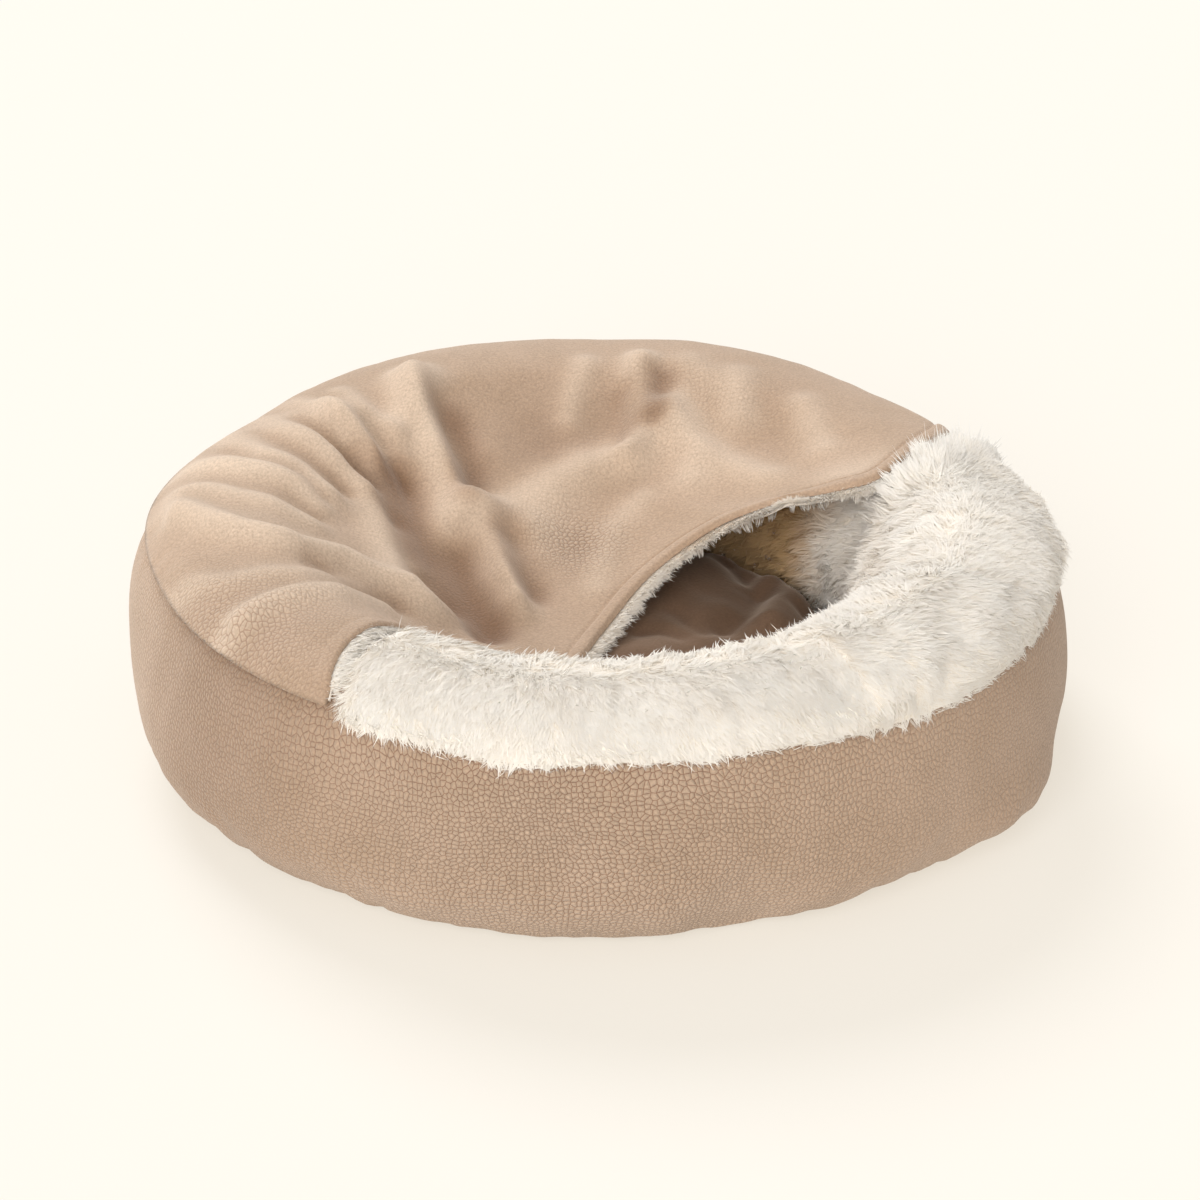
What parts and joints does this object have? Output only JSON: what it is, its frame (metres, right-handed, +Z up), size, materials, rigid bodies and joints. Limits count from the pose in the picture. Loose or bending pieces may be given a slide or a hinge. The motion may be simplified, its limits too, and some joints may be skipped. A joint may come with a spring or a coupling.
{
  "type": "hooded round pet bed",
  "caption": "Round stuffed pet bed with a suede-like wall, a shaggy crown, a floor cushion and a fur-lined hood sewn round the back that sags into the hollow.",
  "frame": {"origin": "centre of the underside, on the surface the bed rests on", "axes": "+Z up; -Y the front, where the shaggy crown is bare; +X to the right seen from the front"},
  "size_m": [0.6048, 0.6018, 0.1727],
  "materials": {
    "suede": "matt brushed suede-like polyester with an embossed pebble pattern",
    "fur": "cream shaggy plush",
    "cushion_suede": "matt brushed suede-like polyester",
    "base_cloth": "plain woven polyester"
  },
  "bodies": {
    "root": {"base_panel": "base_cloth", "bolster": "suede", "fur_cover": "fur", "floor_cushion": "cushion_suede", "hood_shell": "suede", "hood_lining": "fur"}
  },
  "joints": []
}
